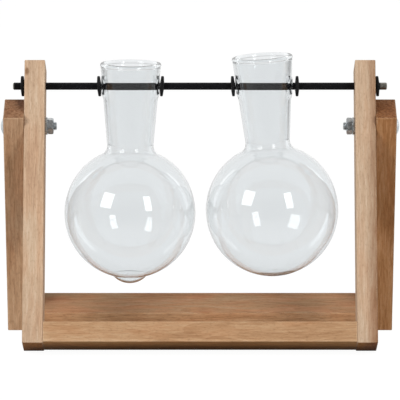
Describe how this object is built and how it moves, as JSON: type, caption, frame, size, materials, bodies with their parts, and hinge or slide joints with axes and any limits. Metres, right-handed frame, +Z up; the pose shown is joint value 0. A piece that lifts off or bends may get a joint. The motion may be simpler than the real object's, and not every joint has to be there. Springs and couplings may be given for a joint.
{
  "type": "propagation vase",
  "caption": "Folding wooden stand with clear glass bulb flasks hung on a black rod, for rooting plant cuttings in water.",
  "frame": {"origin": "on the table, midway across the width and midway between the front and rear feet", "axes": "+X to the right seen from the front, along the rod; +Y to the back; +Z up"},
  "size_m": [0.273, 0.131, 0.1968],
  "materials": {
    "stained_wood": "planed softwood, thin brown stain, matt",
    "dowel_wood": "bare turned beech",
    "zinc_plate": "zinc-plated steel, dull",
    "black_rod": "black satin paint on steel",
    "black_rubber": "matt black rubber",
    "clear_glass": "clear blown glass"
  },
  "bodies": {
    "front_frame": {"post_left": "stained_wood", "post_right": "stained_wood", "front_rail": "stained_wood", "front_rail_dowels": "dowel_wood"},
    "rear_frame": {"leg_left": "stained_wood", "leg_right": "stained_wood", "rear_rail": "stained_wood", "rear_rail_dowels": "dowel_wood", "pivot_bolt_left": "zinc_plate", "pivot_bolt_right": "zinc_plate", "pivot_washer_left": "zinc_plate", "pivot_washer_right": "zinc_plate", "pivot_nut_left": "zinc_plate", "pivot_nut_right": "zinc_plate"},
    "rod": {"hanging_rod": "black_rod"},
    "end_stop_left": {"rod_end_ring_left": "black_rubber"},
    "end_stop_right": {"rod_end_ring_right": "black_rubber"},
    "left_inner_stop": {"left_flask_inner_ring": "black_rubber"},
    "left_outer_stop": {"left_flask_outer_ring": "black_rubber"},
    "right_inner_stop": {"right_flask_inner_ring": "black_rubber"},
    "right_outer_stop": {"right_flask_outer_ring": "black_rubber"},
    "left_flask": {"flask_left": "clear_glass"},
    "right_flask": {"flask_right": "clear_glass"}
  },
  "joints": [
    {"name": "rear_frame_fold", "type": "hinge", "parent": "front_frame", "child": "rear_frame", "pos_m": [0, 0.00506, 0.14839], "axis": [1, 0, 0], "range_deg": [-26, 87]},
    {"name": "rod_spin", "type": "hinge", "parent": "front_frame", "child": "rod", "pos_m": [0, 0.01546, 0.1746], "axis": [1, 0, 0], "continuous": true},
    {"name": "rod_end_ring_left_slide", "type": "slide", "parent": "rod", "child": "end_stop_left", "axis": [1, 0, 0], "range_m": [-0.005, 0]},
    {"name": "rod_end_ring_right_slide", "type": "slide", "parent": "rod", "child": "end_stop_right", "axis": [1, 0, 0], "range_m": [0, 0.005]},
    {"name": "left_flask_slide", "type": "slide", "parent": "front_frame", "child": "left_inner_stop", "axis": [1, 0, 0], "range_m": [-0.0118, 0.003]},
    {"name": "left_flask_swing", "type": "hinge", "parent": "left_inner_stop", "child": "left_flask", "pos_m": [-0.04768, 0.01546, 0.1746], "axis": [1, 0, 0], "continuous": true},
    {"name": "left_flask_outer_ring_slide", "type": "slide", "parent": "left_inner_stop", "child": "left_outer_stop", "axis": [1, 0, 0], "range_m": [-0.018, 0]},
    {"name": "right_flask_slide", "type": "slide", "parent": "front_frame", "child": "right_inner_stop", "axis": [1, 0, 0], "range_m": [-0.003, 0.0099]},
    {"name": "right_flask_swing", "type": "hinge", "parent": "right_inner_stop", "child": "right_flask", "pos_m": [0.04398, 0.01546, 0.1746], "axis": [1, 0, 0], "continuous": true},
    {"name": "right_flask_outer_ring_slide", "type": "slide", "parent": "right_inner_stop", "child": "right_outer_stop", "axis": [1, 0, 0], "range_m": [-0.0014, 0.02]}
  ]
}
